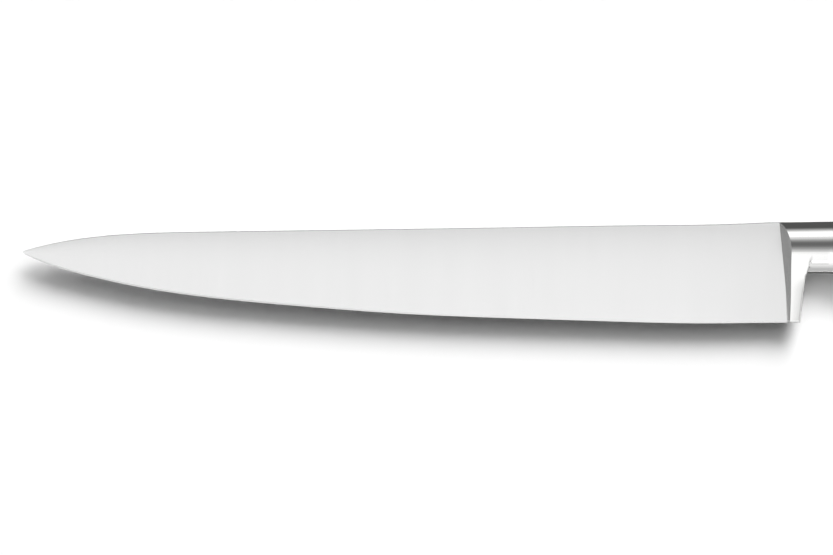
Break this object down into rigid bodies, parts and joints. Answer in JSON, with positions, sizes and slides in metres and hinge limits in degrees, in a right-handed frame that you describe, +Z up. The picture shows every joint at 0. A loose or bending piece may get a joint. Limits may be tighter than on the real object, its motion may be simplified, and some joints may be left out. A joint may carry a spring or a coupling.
{
  "type": "carving knife",
  "caption": "Forged carving knife with a long narrow blade, full heel, oval polished bolster, full tang and riveted black handle scales.",
  "frame": {"origin": "on the surface that the right scale lies on, below the middle of the knife's bounding box", "axes": "+X from the tip to the butt, +Y towards the spine, +Z up, square to the flat of the blade, out of its left side"},
  "size_m": [0.33, 0.0278, 0.0139],
  "materials": {
    "satin_steel": "satin ground stainless steel",
    "polished_steel": "polished stainless steel",
    "black_handle": "smooth black acetal, half gloss"
  },
  "bodies": {
    "root": {"forged_blade": "satin_steel", "left_scale": "black_handle", "right_scale": "black_handle", "rivet_sleeve_front": "polished_steel", "rivet_pin_front": "polished_steel", "rivet_sleeve_middle": "polished_steel", "rivet_pin_middle": "polished_steel", "rivet_sleeve_rear": "polished_steel", "rivet_pin_rear": "polished_steel"}
  },
  "joints": []
}
